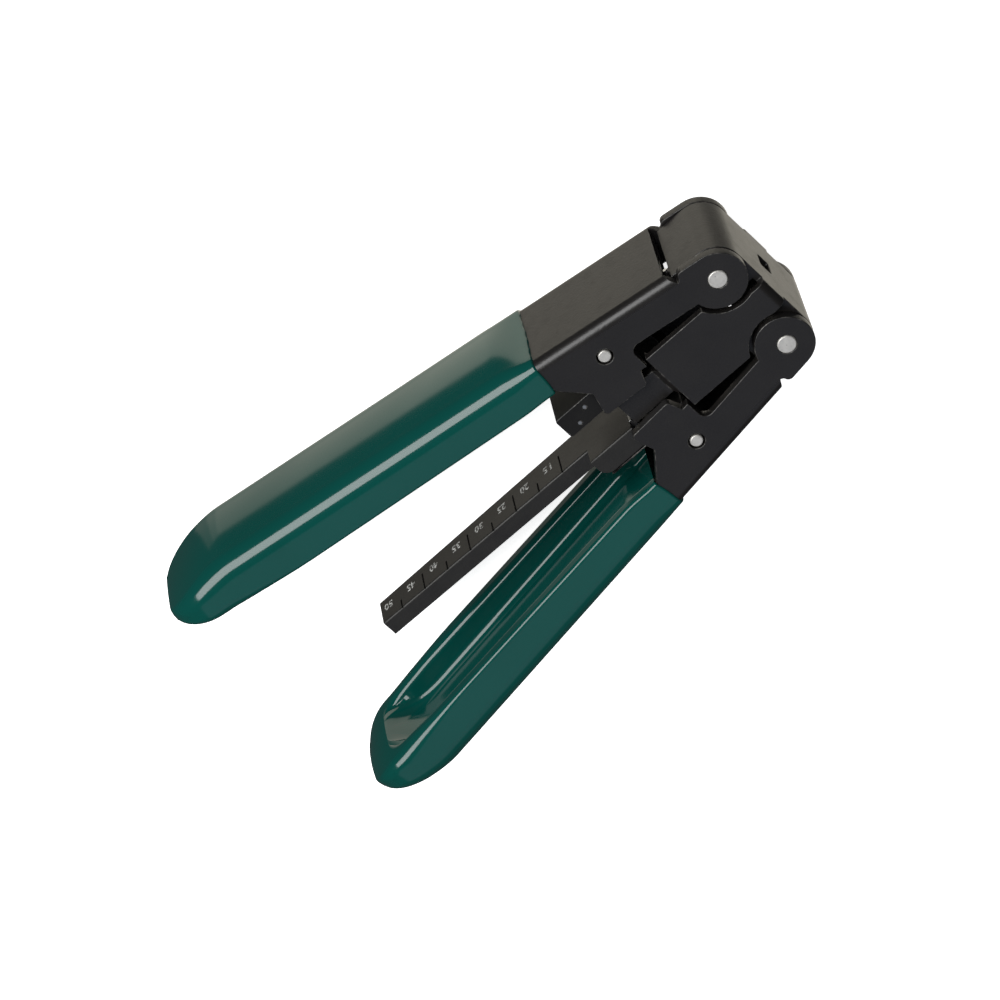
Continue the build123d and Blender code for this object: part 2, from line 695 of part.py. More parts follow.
def rivets():
    """Two blind rivets that hold the saddle on the lower jaw."""
    top = -jaw_gap_down - rivet_cap
    length = top + jaw_tail_height
    return [Pos(-x, top - length / 2, 0) * Rot(90, 0, 0) * Cylinder(rivet_radius, length)
            for x in rivet_places]


def build_nodes():
    """Every separate piece of the tool by name, in the modelling frame."""
    steel = place_upper(arm_steel())
    spring = place_upper(torsion_spring())
    edge = blade()
    pin_half = half_width + pin_proud
    upper_small_pin = round_pin(jaw_pin_radius, -jaw_pin_x, jaw_pin_y, half_width)
    upper_screws = set_screws(jaw_tail, upper_screw_height)
    lower_screws = set_screws(jaw_tail, lower_screw_height)
    return {
        "head_bracket": head_bracket(),
        "upper_pivot_pin": round_pin(pivot_pin_radius, 0, pivot_y, pin_half),
        "lower_pivot_pin": round_pin(pivot_pin_radius, 0, -pivot_y, pin_half),
        "upper_pivot_sleeve": pivot_sleeve(1),
        "lower_pivot_sleeve": pivot_sleeve(-1),
        "upper_arm": steel,
        "lower_arm": lower_of(steel),
        "upper_grip": place_upper(arm_grip(upper_drip)),
        "lower_grip": lower_of(place_upper(arm_grip(0))),
        "upper_torsion_spring": spring,
        "lower_torsion_spring": lower_of(spring),
        "upper_jaw": upper_jaw(),
        "upper_jaw_pin": upper_small_pin,
        "upper_jaw_dowels": dowels(),
        "upper_blade": edge,
        "upper_blade_screws": upper_screws,
        "lower_jaw": lower_jaw(),
        "lower_jaw_pin": lower_of(upper_small_pin),
        "lower_blade": lower_of(edge),
        "lower_blade_screws": [lower_of(screw) for screw in lower_screws],
        "guide_posts": guide_posts(),
        "ruler": ruler(),
        "ruler_rivets": rivets(),
    }


def as_compound(shape):
    """A node's solids as one shape to write."""
    if isinstance(shape, list):
        return Compound(children=shape)
    return shape


# The finished tool stands with the middle of its box over zero and its lower side at height zero.
nodes = {name: as_compound(shape) for name, shape in build_nodes().items()}
boxes = [shape.bounding_box() for shape in nodes.values()]
x_low = min(box.min.X for box in boxes)
x_high = max(box.max.X for box in boxes)
z_low = min(box.min.Z for box in boxes)
to_row = Pos(-(x_low + x_high) / 2, 0, -z_low)

os.makedirs("parts", exist_ok=True)
for name, shape in nodes.items():
    export_step(to_row * shape, f"parts/{name}.step")

pivot_x = -(x_low + x_high) / 2
print(f"pivots at x {pivot_x:.4f}, y +-{pivot_y:.4f}; jaw pins at x {pivot_x - jaw_pin_x:.4f}")
print(f"closing {arm_closing} degrees moves each jaw {jaw_travel:.3f} mm")
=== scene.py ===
import json
from math import cos, pi, radians, sin, sqrt, tan

import bmesh
import bpy
from mathutils import Matrix, Vector
from mathutils.bvhtree import BVHTree

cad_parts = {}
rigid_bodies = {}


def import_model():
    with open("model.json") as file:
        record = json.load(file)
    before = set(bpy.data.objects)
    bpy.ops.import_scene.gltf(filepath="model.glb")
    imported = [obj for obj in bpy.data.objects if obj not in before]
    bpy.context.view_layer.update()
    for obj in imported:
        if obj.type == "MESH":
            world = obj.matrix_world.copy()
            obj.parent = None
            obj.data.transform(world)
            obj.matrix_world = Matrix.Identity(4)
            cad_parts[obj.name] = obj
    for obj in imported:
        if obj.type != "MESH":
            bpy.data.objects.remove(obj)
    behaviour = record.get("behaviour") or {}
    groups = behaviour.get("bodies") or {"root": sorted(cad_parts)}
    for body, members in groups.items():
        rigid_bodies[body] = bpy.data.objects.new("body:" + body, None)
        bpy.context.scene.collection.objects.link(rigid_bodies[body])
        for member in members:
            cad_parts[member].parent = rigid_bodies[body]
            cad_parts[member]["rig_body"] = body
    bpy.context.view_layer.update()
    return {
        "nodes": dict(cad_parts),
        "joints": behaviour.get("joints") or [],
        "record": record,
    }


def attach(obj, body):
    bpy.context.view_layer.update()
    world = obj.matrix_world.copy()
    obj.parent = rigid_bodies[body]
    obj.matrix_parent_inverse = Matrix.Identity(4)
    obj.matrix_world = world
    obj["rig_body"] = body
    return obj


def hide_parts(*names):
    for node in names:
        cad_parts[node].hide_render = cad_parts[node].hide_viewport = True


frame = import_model()

# Sizes in metres, in the tool's own frame: X towards the cable entry, Y across the handles, Z up
MM = 0.001
joints = {joint["name"]: joint for joint in frame["joints"]}
pivot = Vector(joints["upper_handle_squeeze"]["pos_m"])
handle_opening = radians(8.6)
half_width = 9.8 * MM          # middle plane to the outside of a handle's steel wall
coat = 0.4 * MM
steel_edge = 0.13 * MM         # rounding of sheared steel edges
scale_edge = 0.06 * MM
blade_edge = 0.03 * MM
sharp_edge = radians(35)       # edges with a wider turn than this get the rounding
stray_share = 0.5              # corners further off the solid, in roundings, go back onto it
merge_distance = 1e-7
flat_turn = radians(0.3)
cut_tolerance = 1e-8

# Outside of the grips: distances behind the pivot, and heights over the line from pivot to tail
grip_start = 31.2 * MM
flare_end = 38.0 * MM
nose_start = 90.0 * MM
nose_side_start = 94.4 * MM
nose_power = 1.75
nose_side_power = 2.4
grip_reach = {1: 103.8 * MM, -1: 103.0 * MM}
rim_at_start = 1.3 * MM
rim_at_nose = 2.3 * MM
rim_hang = {1: 0.35 * MM, -1: 0.6 * MM}   # the dip hangs this much lower along the rim
rim_lift_start = 96.5 * MM
rim_lift = 1.5 * MM
web_outside = 4.95 * MM
web_fold = 1.8 * MM
grip_back = 5.93 * MM
grip_corner = 3.6 * MM
grip_crown = 0.45 * MM
corner_share = 0.45            # a corner takes at most this share of the side it rounds
rim_round = 0.72 * MM
rim_round_share = 0.5
tail_round_start = 78.0 * MM   # from here to the tail the rim grows rounder
tail_round = 2.2
tail_swell = 0.4 * MM          # how far the tail's underside bulges in the middle
tail_swell_end = 98.0 * MM
nose_tip_half_width = 2.4 * MM
nose_tip_height = 1.1 * MM
tip_round = 0.7 * MM

# Channel of the grips, where the dip pools thicker than on the outside
wall_at_front = 2.35 * MM      # steel and a thin coat
wall_at_grip = 3.2 * MM        # steel and the thick coat that the dip leaves in the channel
floor_at_front = 2.95 * MM
floor_at_grip = 2.0 * MM
pool_start = 36.4 * MM         # where the thick coat in the channel begins
pool_end = 40.6 * MM
fold_round = 1.5 * MM
fold_at_front = 0.45           # share of the rounding that the thin coat has
lip_round = 1.3 * MM
lip_at_front = 0.5
hollow_taper_start = 84.0 * MM
hollow_end = 96.6 * MM
hollow_end_half_width = 3.0 * MM
hollow_power = 4
hollow_ease = 1.3
run_out_start = 86.0 * MM
wall_lean = 0.7 * MM           # how far the channel's wall leans where it runs out
least_depth = 0.01 * MM
front_ripple = 0.09 * MM       # the coat's edge and the pool's edge wander by about this much
pool_ripple = 0.25 * MM
front_ripple_length = 3 * coat
slow_wave = (900, 400)         # radians per metre, outwards and across
fast_wave = 2100
fast_wave_share = 0.6
fast_wave_start = 1.3

# Torsion springs, in the handle's own frame
wire_radius = 0.35 * MM
wire_sides = 14
spring_radius = 2.5 * MM
spring_turns = 6.275
spring_height = 11.3 * MM
spring_hook_x = -6.45 * MM
spring_tip = 4.35 * MM
spring_front_leg = 2.8 * MM
spring_bend = 1.0 * MM
steps_per_turn = 40

# Ruler
ruler_top = -2.6 * MM
jaw_pin_back = 21.4 * MM
jaw_pin_out = 10.94 * MM
blade_line = 26.7 * MM         # distance of the blades behind the pivots
readings = range(15, 51, 5)
tick_half_width = 0.17 * MM
tick_depth = 0.15 * MM
number_height = 1.85 * MM
number_width = 1.75 * MM
number_behind_tick = 2.55 * MM
number_shift = 0.5 * MM        # towards the far side of the scale
number_boldness = 0.025
number_merge = 1e-6            # in the lettering's own unit, like the boldness
ink_depth = 0.006 * MM
ink_root = 0.02 * MM           # how far the paint reaches into the scale

# Camera, fitted to the photograph
camera_target = Vector((-4.236, -1.08, 10.2)) * MM
camera_distance = 0.8018
camera_azimuth = radians(148.98)
camera_elevation = radians(59.11)
camera_roll = radians(-166.55)
camera_lens = 180
camera_sensor = 36


def at_handle(side):
    """Turns a distance behind the pivot, a height over the pivot line and a height in Z into a place."""
    def place(behind, out, across):
        return Vector((pivot.x - behind * cos(handle_opening) + out * sin(handle_opening),
                       side * (pivot.y + behind * sin(handle_opening) + out * cos(handle_opening)),
                       pivot.z + across))
    return place


def towards_tail(side):
    """Direction of a handle, from its pivot to its tail."""
    place = at_handle(side)
    return (place(1, 0, 0) - place(0, 0, 0)).normalized()


def ease(start, end, value):
    """Rises smoothly from zero to one."""
    share = min(max((value - start) / (end - start), 0), 1)
    return share * share * (3 - 2 * share)


def closing(value, start, end, power):
    """Falls from one to zero, full at first and steep at the end."""
    share = min(max((value - start) / (end - start), 0), 1)
    return (1 - share ** power) ** (1 / power)


def blend(first, last, share):
    """A number on the way from one to another."""
    return first + (last - first) * share


# Finishes
class Level:
    """A node's output; sums and products of it become Math nodes."""

    def __init__(self, nodes, socket):
        self.nodes = nodes
        self.socket = socket

    def __add__(self, other):
        return self.nodes.node("ShaderNodeMath", {0: self, 1: other}, operation="ADD")

    __radd__ = __add__

    def __mul__(self, other):
        return self.nodes.node("ShaderNodeMath", {0: self, 1: other}, operation="MULTIPLY")

    __rmul__ = __mul__


class Nodes:
    """A tree of shader nodes; every node in it comes from the method node."""

    def __init__(self, tree):
        self.tree = tree
        tree.nodes.clear()

    def node(self, kind, sockets=None, output=0, stops=None, **settings):
        """A node with its settings and ramp stops first, then its sockets' values and links."""
        made = self.tree.nodes.new(kind)
        for name, value in settings.items():
            setattr(made, name, value)
        if stops:
            for element, (position, grey) in zip(made.color_ramp.elements, stops):
                element.position = position
                element.color = (grey, grey, grey, 1)
        for key, value in (sockets or {}).items():
            if isinstance(value, Level):
                self.tree.links.new(value.socket, made.inputs[key])
            else:
                made.inputs[key].default_value = value
        return Level(self, made.outputs[output]) if len(made.outputs) else made


class Finish(Nodes):
    """One material, with patterns on the piece's object coordinates."""

    def __init__(self, name):
        self.material = bpy.data.materials.new(name)
        self.material.use_nodes = True
        super().__init__(self.material.node_tree)

    def place(self):
        """Object coordinates, in metres of the tool's frame."""
        return self.node("ShaderNodeTexCoord", output="Object")

    def scaled(self, place, factors):
        """A place with its parts multiplied."""
        return self.node("ShaderNodeVectorMath", {0: place, 1: factors}, operation="MULTIPLY")

    def noise(self, scale, detail=3, roughness=0.55, place=None):
        """Noise whose scale is in cells per metre."""
        return self.node("ShaderNodeTexNoise", {"Vector": place or self.place(), "Scale": scale,
                                                "Detail": detail, "Roughness": roughness})

    def spots(self, value, start, full):
        """Zero below start and one above full."""
        return self.node("ShaderNodeValToRGB", {"Fac": value}, stops=((start, 0.0), (full, 1.0)))

    def mix(self, share, first, second):
        """A blend of two colours."""
        first, second = (colour if isinstance(colour, Level) else (*colour, 1)
                         for colour in (first, second))
        return self.node("ShaderNodeMix", {0: share, 6: first, 7: second}, output=2, data_type="RGBA")

    def bump(self, height, depth, strength, under=None):
        """Relief of a given depth in metres, on top of another one where given."""
        sockets = {"Height": height, "Distance": depth, "Strength": strength}
        if under:
            sockets["Normal"] = under
        return self.node("ShaderNodeBump", sockets)

    def shade(self, colour, roughness, metallic=0.0, specular=0.5, normal=None, glow=0.0):
        """The surface shader."""
        sockets = {"Base Color": colour, "Roughness": roughness, "Metallic": metallic,
                   "Specular IOR Level": specular, "Emission Color": (1, 1, 1, 1),
                   "Emission Strength": glow}
        if normal:
            sockets["Normal"] = normal
        surface = self.node("ShaderNodeBsdfPrincipled", sockets)
        self.node("ShaderNodeOutputMaterial", {"Surface": surface})
        return self.material


def black_steel():
    """Satin blackened sheet: fine orange peel, faint rub marks and a little dust."""
    finish = Finish("black_steel")
    cloud = finish.noise(140, detail=4)
    peel = finish.noise(2200, detail=4)
    rubs = finish.spots(finish.noise(420, detail=6, roughness=0.7), 0.5, 0.8)
    dust = finish.spots(finish.noise(2100, detail=2), 0.72, 0.8)
    colour = finish.mix(cloud, (0.0065, 0.0058, 0.0056), (0.011, 0.010, 0.0095))
    colour = finish.mix(0.5 * dust, colour, (0.03, 0.029, 0.027))
    relief = finish.bump(peel, 0.022 * MM, 1.0)
    return finish.shade(colour, 0.28 + 0.08 * cloud + 0.08 * rubs, specular=0.45, normal=relief)


def worn_steel(name, bare):
    """Edges of the blackened sheet, rubbed bare here and there."""
    finish = Finish(name)
    wear = finish.spots(finish.noise(800, detail=5, roughness=0.65), 0.5, 0.72)
    colour = finish.mix(wear, (0.012, 0.0115, 0.011), (bare, 0.95 * bare, 0.88 * bare))
    return finish.shade(colour, 0.3 + 0.12 * wear, metallic=0.7 * wear)


def black_casting():
    """Matt black die casting with a fine grain."""
    finish = Finish("black_casting")
    grain = finish.noise(3800)
    cloud = finish.noise(260, detail=4)
    colour = finish.mix(cloud, (0.004, 0.0038, 0.0038), (0.008, 0.0077, 0.0075))
    relief = finish.bump(grain, 0.02 * MM, 0.6)
    return finish.shade(colour, 0.42 + 0.12 * cloud, specular=0.22, normal=relief)


def ruler_black():
    """Grainy blackened scale, a little brown."""
    finish = Finish("ruler_black")
    grain = finish.noise(3000)
    cloud = finish.noise(300, detail=5, roughness=0.65)
    colour = finish.mix(cloud, (0.006, 0.0056, 0.005), (0.014, 0.013, 0.0115))
    relief = finish.bump(grain, 0.02 * MM, 0.8)
    return finish.shade(colour, 0.36 + 0.14 * cloud, specular=0.45, normal=relief)


def groove_black():
    """Bottom and sides of the scale's ticks, near black with a faint mottle: painted shade in the grooves.
    """
    finish = Finish("groove_black")
    groove_shade_mottle = finish.noise(2400, detail=2)
    # near-black colour that stands for the shade in the ticks' grooves
    colour = finish.mix(groove_shade_mottle, (0.0012, 0.0012, 0.0012), (0.003, 0.003, 0.003))
    return finish.shade(colour, 0.8, specular=0.1)


def white_ink():
    """White paint in the numbers, a little worn."""
    finish = Finish("white_ink")
    wear = finish.spots(finish.noise(2000), 0.35, 0.62)
    return finish.shade(finish.mix(wear, (0.05, 0.049, 0.046), (0.5, 0.5, 0.48)), 0.5)


def dipped_green():
    """Glossy dark green dip with slow waves in its surface and a few specks under it."""
    finish = Finish("dipped_green")
    wave = finish.noise(60, detail=2)
    ripple = finish.noise(420, detail=2)
    speck = finish.spots(finish.noise(1500, detail=1), 0.76, 0.82)
    colour = finish.mix(wave, (0.0009, 0.043, 0.035), (0.0012, 0.050, 0.042))
    relief = finish.bump(wave, 0.1 * MM, 0.3)
    relief = finish.bump(ripple, 0.006 * MM, 0.2, under=relief)
    relief = finish.bump(speck, 0.012 * MM, 0.3, under=relief)
    return finish.shade(colour, 0.1 + 0.05 * ripple, normal=relief)


def bright_steel(name, base, roughness):
    """Drawn bright steel with fine marks that are long in Z."""
    finish = Finish(name)
    marks = finish.noise(2600, detail=4, place=finish.scaled(finish.place(), (1, 1, 0.2)))
    cloud = finish.noise(800)
    colour = finish.mix(cloud, tuple(0.8 * part for part in base), base)
    relief = finish.bump(marks, 0.01 * MM, 0.6)
    return finish.shade(colour, roughness + 0.14 * marks, metallic=1.0, normal=relief)


def turned_steel(name, centre):
    """A pin's bright end with the rings that turning leaves, a few pits and a grey film."""
    finish = Finish(name)
    moved = finish.node("ShaderNodeVectorMath", {0: finish.place(), 1: centre}, operation="SUBTRACT")
    radius = finish.node("ShaderNodeVectorMath", {0: finish.scaled(moved, (1, 1, 0))}, output="Value",
                         operation="LENGTH")
    rings = finish.noise(9000, detail=1, place=finish.node("ShaderNodeCombineXYZ", {0: radius}))
    film = finish.noise(1100, detail=4, roughness=0.6)
    pits = finish.spots(finish.noise(2800, detail=2), 0.66, 0.74)
    colour = finish.mix(film, (0.4, 0.39, 0.37), (0.68, 0.665, 0.63))
    colour = finish.mix(0.7 * pits, colour, (0.12, 0.115, 0.11))
    relief = finish.bump(rings, 0.008 * MM, 0.7)
    relief = finish.bump(pits, 0.01 * MM, 0.5, under=relief)
    return finish.shade(colour, 0.36 + 0.16 * film, metallic=0.6, normal=relief)


# Camera, light and floor
def place_camera():
    """The photograph's viewpoint: high on the near side, rolled so that the head points up to the right."""
    data = bpy.data.cameras.new("camera")
    data.lens = camera_lens
    data.sensor_width = camera_sensor
    data.clip_start = 0.01
    data.clip_end = 50
    camera = bpy.data.objects.new("camera", data)
    back = Vector((sin(camera_azimuth) * cos(camera_elevation),
                   -cos(camera_azimuth) * cos(camera_elevation),
                   sin(camera_elevation)))
    right = Vector((0, 0, 1)).cross(back).normalized()
    up = back.cross(right)
    turned_up = right * sin(camera_roll) + up * cos(camera_roll)
    turned_right = turned_up.cross(back)
    axes = Matrix((turned_right, turned_up, back)).transposed().to_4x4()
    camera.matrix_world = Matrix.Translation(camera_target + back * camera_distance) @ axes
    bpy.context.scene.collection.objects.link(camera)
    bpy.context.scene.camera = camera


def soft_box(name, centre, length, width, strength, colour=(1, 1, 1), lights=True, mirrored=True):
    """A rectangular light that looks at the tool, its long side along X; a card is only mirrored."""
    data = bpy.data.lights.new(name, "AREA")
    data.shape = "RECTANGLE"
    data.size = length
    data.size_y = width
    data.color = colour
    data.energy = strength * width * length * pi
    light = bpy.data.objects.new(name, data)
    back = Vector(centre).normalized()
    across = back.cross(Vector((1, 0, 0))).normalized()
    along = across.cross(back)
    axes = Matrix((along, across, back)).transposed().to_4x4()
    light.matrix_world = Matrix.Translation(centre) @ axes
    light.visible_diffuse = lights
    light.visible_glossy = mirrored
    bpy.context.scene.collection.objects.link(light)


def under_cards(count, left, step, right, depth, width, strength):
    """Cards below the tool, one behind the other, so that their mirrored left edge is soft."""
    for number in range(count):
        start = left + step * number
        soft_box(f"under_card_{number}", centre=((right + start) / 2, 0.0, -depth), length=right - start,
                 width=width, strength=strength / count, colour=(1.0, 0.94, 0.8), lights=False)


def surround(to_eye, fill, mirrored):
    """Pale to the eye and as fill light, dark where a glossy surface mirrors it."""
    world = bpy.data.worlds.new("surround")
    world.use_nodes = True
    air = Nodes(world.node_tree)
    seen = air.node("ShaderNodeLightPath", output="Is Camera Ray")
    diffuse = air.node("ShaderNodeLightPath", output="Is Diffuse Ray")
    strength = to_eye * seen + (fill * diffuse + mirrored)
    pale = air.node("ShaderNodeBackground", {"Color": (0.95, 0.98, 1.0, 1), "Strength": strength})
    air.node("ShaderNodeOutputWorld", {"Surface": pale})
    bpy.context.scene.world = world


def white_floor(size, glow):
    """A matt floor, bright enough to swallow the tool's shadow, as in the photograph."""
    bpy.ops.mesh.primitive_plane_add(size=size)
    floor = bpy.context.object
    floor.name = "floor"
    pale = Finish("pale_floor")
    colour = pale.mix(pale.noise(3.0, detail=2), (0.88, 0.88, 0.88), (0.92, 0.92, 0.92))
    floor.data.materials.append(pale.shade(colour, roughness=0.9, specular=0.0, glow=glow))
    floor.visible_glossy = False
    floor.visible_diffuse = False
    floor.visible_shadow = False


def studio():
    """White floor, a key light over the handles' backs, a fill, and cards that the gloss mirrors."""
    soft_box("key", centre=(-0.16, 0.55, 0.55), length=0.9, width=0.49, strength=6.6)
    soft_box("fill", centre=(-0.1, -0.55, 0.6), length=0.9, width=0.6, strength=2.0, mirrored=False)
    soft_box("ceiling_card", centre=(-0.2, -0.52, 0.75), length=1.1, width=0.75, strength=0.27,
             colour=(0.9, 1.0, 1.25), lights=False)
    under_cards(count=5, left=-0.25, step=0.04, right=0.28, depth=0.5, width=0.74, strength=1.0)
    surround(to_eye=0.6, fill=0.24, mirrored=0.05)
    white_floor(size=6, glow=0.8)
    bpy.context.scene.view_settings.view_transform = "Standard"


# Pieces
def new_piece(name, mesh, body, slot, *nodes):
    """A finished mesh as a piece that rides on a body and stands for CAD nodes."""
    piece = bpy.data.objects.new(name, mesh)
    bpy.context.scene.collection.objects.link(piece)
    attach(piece, body)
    if nodes:
        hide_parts(*nodes)


def plain_mesh(holder, name):
    """What an object and its modifiers come to; the object goes away."""
    mesh = bpy.data.meshes.new_from_object(holder.evaluated_get(bpy.context.evaluated_depsgraph_get()))
    mesh.name = name
    bpy.data.objects.remove(holder)
    return mesh


def slot_of_node(node):
    """Material slot of a CAD node."""
    return next(part["material_slot"] for part in frame["record"]["subparts"] if part["node"] == node)


def merged_copy(node):
    """A node's triangles with their doubles merged and their flat areas joined."""
    work = bmesh.new()
    work.from_mesh(frame["nodes"][node].data)
    bmesh.ops.remove_doubles(work, verts=work.verts, dist=merge_distance)
    bmesh.ops.dissolve_limit(work, angle_limit=flat_turn, verts=work.verts, edges=work.edges)
    return work


def cut_off(work, point, direction):
    """Takes away what lies past a plane and closes the cut."""
    made = bmesh.ops.bisect_plane(work, geom=work.verts[:] + work.edges[:] + work.faces[:],
                                  dist=cut_tolerance, plane_co=point, plane_no=direction,
                                  clear_outer=True)
    edges = [part for part in made["geom_cut"] if isinstance(part, bmesh.types.BMEdge)]
    bmesh.ops.edgenet_fill(work, edges=edges)


def rounded_piece(node, width, finish, edge_finish, cut=None, groove=None):
    """A copy of a node with its sharp edges rounded, as sheared and deburred steel is."""
    name = node + "_rounded"
    work = merged_copy(node)
    if cut:
        cut_off(work, *cut)
    surface = BVHTree.FromBMesh(work)
    mesh = bpy.data.meshes.new(name)
    work.to_mesh(mesh)
    work.free()
    mesh.materials.clear()
    for part in (finish, edge_finish, groove):
        if part:
            mesh.materials.append(part)
    for face in mesh.polygons:
        face.use_smooth = True
        # faces inside the scale's ticks get the near-black painted shade
        face.material_index = 2 if groove and in_tick(face.center) else 0
    holder = bpy.data.objects.new(name, mesh)
    bpy.context.scene.collection.objects.link(holder)
    bevel = holder.modifiers.new("edges", "BEVEL")
    bevel.width = width
    bevel.segments = 2
    bevel.limit_method = "ANGLE"
    bevel.angle_limit = sharp_edge
    bevel.use_clamp_overlap = groove is not None
    bevel.harden_normals = True
    bevel.material = 1
    weighted = holder.modifiers.new("flat_faces_rule", "WEIGHTED_NORMAL")
    weighted.weight = 100
    result = plain_mesh(holder, name)
    for vertex in result.vertices:
        nearest, _, _, distance = surface.find_nearest(vertex.co)
        if distance > stray_share * width:
            vertex.co = nearest
    new_piece(name, result, frame["nodes"][node]["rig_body"], slot_of_node(node), node)


# Grips
def arc(centre, radius, first, last, count):
    """Points of an arc in the grip's section, angles counted from the outward axis towards +Z."""
    turns = [radians(blend(first, last, step / count)) for step in range(count + 1)]
    return [(centre[0] + radius * cos(turn), centre[1] + radius * sin(turn)) for turn in turns]


def straight(first, last):
    """Points between two others, close to both ends so that the flat shades flat."""
    return [(blend(first[0], last[0], share), blend(first[1], last[1], share))
            for share in (0.03, 0.35, 0.65, 0.97)]


def quarter(count):
    """Angles from zero to a right angle."""
    return [radians(90 * step / count) for step in range(count + 1)]


def rim_height(behind, side):
    """Height of the grip's rim, which falls away from the pivot line and lifts again at the tail."""
    share = min(max((behind - grip_start) / (nose_start - grip_start), 0), 1)
    lift = max(behind - rim_lift_start, 0) / (grip_reach[-1] - rim_lift_start)
    hang = rim_hang[side] * ease(grip_start, flare_end, behind)
    hang *= closing(behind, nose_start, grip_reach[side], 2)
    return rim_lift * lift * lift - blend(rim_at_start, rim_at_nose, share) - hang


def grip_outside(behind, side):
    """Half of the outside from the back's middle to the rim; the rim's height, half width and edge."""
    reach = grip_reach[side]
    rim = rim_height(behind, side)
    flare = ease(grip_start, flare_end, behind)
    fall = closing(behind, nose_start, reach, nose_power)
    narrow = closing(behind, nose_side_start, reach, nose_side_power)
    front = max(grip_start + coat - behind, 0) / coat
    inset = coat * (1 - sqrt(1 - front * front))
    tip = rim + nose_tip_height
    half = blend(nose_tip_half_width, half_width + coat, narrow)
    back = blend(tip, blend(web_outside + coat, grip_back, flare), fall)
    corner = min(blend(web_fold + coat, grip_corner, flare), corner_share * min(half, back - rim))
    crown = grip_crown * flare * fall
    half -= inset
    back -= inset
    low_corner = rim_round * (1 + tail_round * ease(tail_round_start, rim_lift_start, behind))
    low_corner = min(low_corner, rim_round_share * (back - corner - rim))
    edge = half - corner
    points = [(back + crown * (1 - (step / 7) ** 2), edge * step / 7) for step in range(7)]
    points += arc((back - corner, edge), corner, 0, 90, 14)
    points += straight((back - corner, half), (rim + low_corner, half))
    points += arc((rim + low_corner, half - low_corner), low_corner, 90, 180, 7)
    return points, rim, half, half - low_corner


def channel(behind, rim, half, edge):
    """Half of the section's inside, from the rim's edge to the middle of the channel's floor."""
    pool = ease(pool_start, pool_end, behind)
    run_out = ease(run_out_start, hollow_end, behind)
    inner = half_width + coat - blend(wall_at_front, wall_at_grip, pool)
    inner = blend(hollow_end_half_width, inner, closing(behind, hollow_taper_start, hollow_end, 2))
    if behind > hollow_end:
        inner = min(inner, 0.5 * half)
    taper = min(max((behind - hollow_taper_start) / (hollow_end - hollow_taper_start), 0), 1)
    depth = (blend(floor_at_front, floor_at_grip, pool) - rim) * (1 - taper ** hollow_power) ** hollow_ease
    depth = max(depth, least_depth)
    floor = rim + depth
    lean = wall_lean * run_out * run_out
    fold = fold_round * blend(fold_at_front, 1, pool)
    fold_out = min(fold, 0.5 * depth)
    fold_across = min(fold * (1 + run_out), 0.85 * (inner - lean))
    lip = lip_round * blend(lip_at_front, 1, pool)
    lip_out = min(lip, 0.48 * depth)
    lip_across = min(lip * (1 + run_out), 0.8 * (edge - inner - lean))
    top = inner + lean
    foot = inner - lean
    points = straight((rim, edge), (rim, top + lip_across))
    points += [(rim + lip_out * (1 - cos(turn)), top + lip_across * (1 - sin(turn)))
               for turn in quarter(8)]
    points += straight((rim + lip_out, top), (floor - fold_out, foot))
    points += [(floor - fold_out * (1 - sin(turn)), foot - fold_across * (1 - cos(turn)))
               for turn in quarter(8)]
    points += straight((floor, foot - fold_across), (floor, 0))[:3]
    points.append((floor, 0))
    swell = tail_swell * ease(hollow_taper_start, tail_swell_end, behind)
    return [(out - swell * (1 - (across / edge) ** 2), across) for out, across in points]


def grip_stations(side):
    """Stations along a grip, closer where its form turns."""
    pool = pool_end + coat
    end = grip_reach[side] - tip_round
    places = [grip_start + coat * share for share in (0, 0.15, 0.4, 0.7, 1)]
    places += [blend(grip_start + coat, pool, step / 18) for step in range(1, 19)]
    places += [blend(pool, hollow_taper_start, step / 16) for step in range(1, 17)]
    places += [blend(hollow_taper_start, hollow_end, sin(pi / 2 * step / 22)) for step in range(1, 23)]
    places += [blend(hollow_end, end, sin(pi / 2 * step / 16)) for step in range(1, 17)]
    return places


def grip_ring(behind, side):
    """Closed loop of one station as places in the tool's frame, with the coat's uneven edges."""
    place = at_handle(side)
    outside, rim, half, edge = grip_outside(behind, side)
    half_loop = outside + channel(behind, rim, half, edge)
    loop = half_loop + [(out, -across) for out, across in reversed(half_loop[1:-1])]
    front = max(1 - (behind - grip_start) / front_ripple_length, 0)
    pooled = 1 - abs(2 * ease(pool_start, pool_end, behind) - 1)
    ripple = front_ripple * front + pool_ripple * pooled
    ring = []
    for out, across in loop:
        slow = sin(slow_wave[0] * out + slow_wave[1] * across)
        fast = fast_wave_share * sin(fast_wave * across + fast_wave_start)
        ring.append(place(behind + ripple * (slow + fast), out, across))
    return ring


def grip(side, name, finish):
    """Dipped grip: thick glossy skin with round rims, an open channel and a boat-shaped tail."""
    rings = [grip_ring(behind, side) for behind in grip_stations(side)]
    last = rings[-1]
    middle = sum(last, Vector()) / len(last)
    along = towards_tail(side)
    for turn in (radians(angle) for angle in (20, 40, 58, 74, 84)):
        rings.append([middle + (point - middle) * cos(turn) + along * tip_round * sin(turn)
                      for point in last])
    work = bmesh.new()
    grid = [[work.verts.new(point) for point in ring] for ring in rings]
    count = len(last)
    for first, second in zip(grid, grid[1:]):
        for step in range(count):
            following = (step + 1) % count
            work.faces.new((first[step], first[following], second[following], second[step]))
    work.faces.new(grid[-1])
    bmesh.ops.contextual_create(work, geom=grid[0])
    bmesh.ops.triangulate(work, faces=[face for face in work.faces if len(face.verts) > 4])
    bmesh.ops.recalc_face_normals(work, faces=work.faces)
    mesh = bpy.data.meshes.new(name)
    work.to_mesh(mesh)
    work.free()
    for face in mesh.polygons:
        face.use_smooth = True
    mesh.materials.append(finish)
    return mesh


